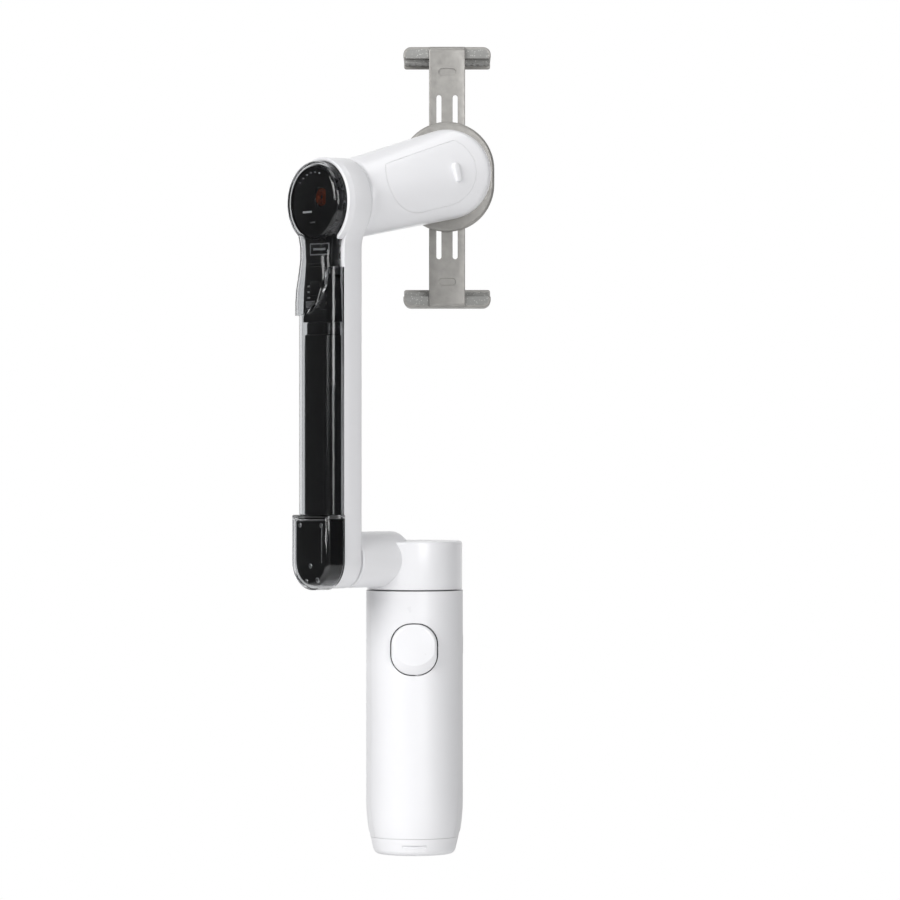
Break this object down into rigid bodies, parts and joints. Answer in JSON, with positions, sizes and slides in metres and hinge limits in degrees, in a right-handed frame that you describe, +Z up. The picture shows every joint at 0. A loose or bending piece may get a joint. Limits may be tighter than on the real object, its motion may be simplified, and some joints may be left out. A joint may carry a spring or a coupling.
{
  "type": "smartphone gimbal stabilizer",
  "caption": "Folding three-axis gimbal stabilizer for a phone: grip with extension rod and legs, clear-covered arm, roll arm and magnetic spring clamp.",
  "frame": {"origin": "centre of the mouth of the tripod thread in the grip's foot", "axes": "+Z up along the grip and the pan axis, +Y towards the phone, +X to the right seen from the arm's side"},
  "size_m": [0.0697, 0.0684, 0.2718],
  "materials": {
    "white_shell": "satin white, fine spark texture",
    "rear_shell": "matte off-white soft-touch",
    "steel": "turned steel",
    "rod_metal": "drawn and anodised",
    "cell_wrap": "shrink wrap",
    "circuit_board": "solder mask",
    "black_plastic": "satin black",
    "light_pipe": "clear light pipe",
    "grey_plastic": "satin grey",
    "motor_steel": "laminated and nickel plated",
    "copper_wire": "enamelled copper wire",
    "clear_cover": "clear moulded cover, gloss",
    "magnet": "nickel plated",
    "clamp_metal": "warm grey powder coat",
    "pad_rubber": "speckled grey silicone"
  },
  "bodies": {
    "grip": {"handle_front_shell": "white_shell", "handle_rear_shell": "rear_shell", "bottom_hub": "white_shell", "leg_pins": "steel", "deck_plate": "white_shell", "rod_guide": "rod_metal", "battery_cell": "cell_wrap", "main_board": "circuit_board", "charge_port": "steel", "trigger_switch": "black_plastic", "status_lights": "light_pipe"},
    "leg_right_body": {"leg_right": "rear_shell"},
    "leg_left_body": {"leg_left": "rear_shell"},
    "leg_rear_body": {"leg_rear": "rear_shell"},
    "trigger_body": {"trigger": "white_shell"},
    "wheel_body": {"control_wheel": "grey_plastic"},
    "record_body": {"record_button": "white_shell"},
    "mode_body": {"mode_button": "white_shell"},
    "power_body": {"power_button": "white_shell"},
    "stick_yoke_body": {"joystick_yoke": "grey_plastic"},
    "stick_body": {"joystick_cap": "black_plastic"},
    "rod_1": {"rod_section_1": "rod_metal"},
    "rod_2": {"rod_section_2": "rod_metal"},
    "rod_3": {"rod_section_3": "rod_metal"},
    "rod_4": {"rod_section_4": "rod_metal", "pan_base": "grey_plastic", "pan_stator": "motor_steel", "pan_coils": "copper_wire", "pan_bearing": "steel"},
    "pan_body": {"pan_housing": "white_shell", "pan_rotor": "motor_steel", "fold_pin": "steel"},
    "arm_body": {"arm_shell": "white_shell", "arm_core": "black_plastic", "clear_tube": "clear_cover", "clear_head": "clear_cover", "clear_cup": "clear_cover", "arm_board": "circuit_board", "cover_screws": "steel", "roll_stator": "motor_steel", "roll_coils": "copper_wire", "roll_bearing": "steel"},
    "roll_body": {"roll_arm": "white_shell", "roll_rotor": "motor_steel", "front_cap": "white_shell", "tilt_stator": "motor_steel", "tilt_coils": "copper_wire", "tilt_bearing": "steel"},
    "tilt_body": {"mount_disc": "clamp_metal", "tilt_rotor": "motor_steel", "mount_magnets": "magnet"},
    "clamp_body": {"clamp_housing": "clamp_metal", "clamp_plate": "clamp_metal", "clamp_pad": "pad_rubber"},
    "upper_jaw_body": {"upper_strip": "clamp_metal", "upper_jaw": "clamp_metal", "upper_pad": "pad_rubber"},
    "lower_jaw_body": {"lower_strip": "clamp_metal", "lower_jaw": "clamp_metal", "lower_pad": "pad_rubber"}
  },
  "joints": [
    {"name": "leg_right_hinge", "type": "hinge", "parent": "grip", "child": "leg_right_body", "pos_m": [0.0132, 0.0018, 0.0086], "axis": [0, 1, 0], "range_deg": [0, 115]},
    {"name": "leg_left_hinge", "type": "hinge", "parent": "grip", "child": "leg_left_body", "pos_m": [-0.0132, 0.0018, 0.0086], "axis": [0, -1, 0], "range_deg": [0, 115]},
    {"name": "leg_rear_hinge", "type": "hinge", "parent": "grip", "child": "leg_rear_body", "pos_m": [0, 0.0168, 0.0086], "axis": [-1, 0, 0], "range_deg": [0, 115]},
    {"name": "trigger_press", "type": "slide", "parent": "grip", "child": "trigger_body", "axis": [0, 1, 0], "range_m": [0, 0.0014], "stiffness_N_per_m": 800},
    {"name": "wheel_turn", "type": "hinge", "parent": "grip", "child": "wheel_body", "pos_m": [0, 0.02, 0.0654], "axis": [0, -1, 0], "continuous": true},
    {"name": "record_press", "type": "slide", "parent": "grip", "child": "record_body", "axis": [0, -1, 0], "range_m": [0, 0.0007], "stiffness_N_per_m": 1500},
    {"name": "mode_press", "type": "slide", "parent": "grip", "child": "mode_body", "axis": [0, -1, 0], "range_m": [0, 0.0007], "stiffness_N_per_m": 1500},
    {"name": "power_press", "type": "slide", "parent": "grip", "child": "power_body", "axis": [-1, 0, 0], "range_m": [0, 0.0006], "stiffness_N_per_m": 1500},
    {"name": "stick_up_down", "type": "hinge", "parent": "grip", "child": "stick_yoke_body", "pos_m": [0, 0.0182, 0.0804], "axis": [1, 0, 0], "range_deg": [-10, 10], "stiffness_Nm_per_rad": 0.02},
    {"name": "stick_left_right", "type": "hinge", "parent": "stick_yoke_body", "child": "stick_body", "pos_m": [0, 0.0182, 0.0804], "axis": [0, 0, 1], "range_deg": [-10, 10], "stiffness_Nm_per_rad": 0.02},
    {"name": "rod_slide_1", "type": "slide", "parent": "grip", "child": "rod_1", "axis": [0, 0, 1], "range_m": [0, 0.05375]},
    {"name": "rod_slide_2", "type": "slide", "parent": "rod_1", "child": "rod_2", "axis": [0, 0, 1], "range_m": [0, 0.05375]},
    {"name": "rod_slide_3", "type": "slide", "parent": "rod_2", "child": "rod_3", "axis": [0, 0, 1], "range_m": [0, 0.05375]},
    {"name": "rod_slide_4", "type": "slide", "parent": "rod_3", "child": "rod_4", "axis": [0, 0, 1], "range_m": [0, 0.05375]},
    {"name": "pan", "type": "hinge", "parent": "rod_4", "child": "pan_body", "pos_m": [0, 0, 0.096], "axis": [0, 0, 1], "range_deg": [-200, 102]},
    {"name": "arm_fold", "type": "hinge", "parent": "pan_body", "child": "arm_body", "pos_m": [-0.01915, -0.01607, 0.0988], "axis": [0.766, 0.6428, 0], "range_deg": [0, 170]},
    {"name": "roll", "type": "hinge", "parent": "arm_body", "child": "roll_body", "pos_m": [-0.02528, -0.02121, 0.2168], "axis": [0.766, 0.6428, 0], "range_deg": [-52, 240]},
    {"name": "tilt", "type": "hinge", "parent": "roll_body", "child": "tilt_body", "pos_m": [0.0109, 0, 0.2276], "axis": [0, 1, 0], "range_deg": [-75, 222]},
    {"name": "clamp_release", "type": "slide", "parent": "tilt_body", "child": "clamp_body", "axis": [0, 1, 0], "range_m": [0, 0.03]},
    {"name": "upper_jaw_slide", "type": "slide", "parent": "clamp_body", "child": "upper_jaw_body", "axis": [0, 0, 1], "range_m": [-0.0068, 0.0032]},
    {"name": "lower_jaw_slide", "type": "slide", "parent": "clamp_body", "child": "lower_jaw_body", "axis": [0, 0, -1], "range_m": [-0.0068, 0.0032]}
  ],
  "couplings": [
    {"joint": "lower_jaw_slide", "follows": "upper_jaw_slide", "ratio": 1}
  ]
}
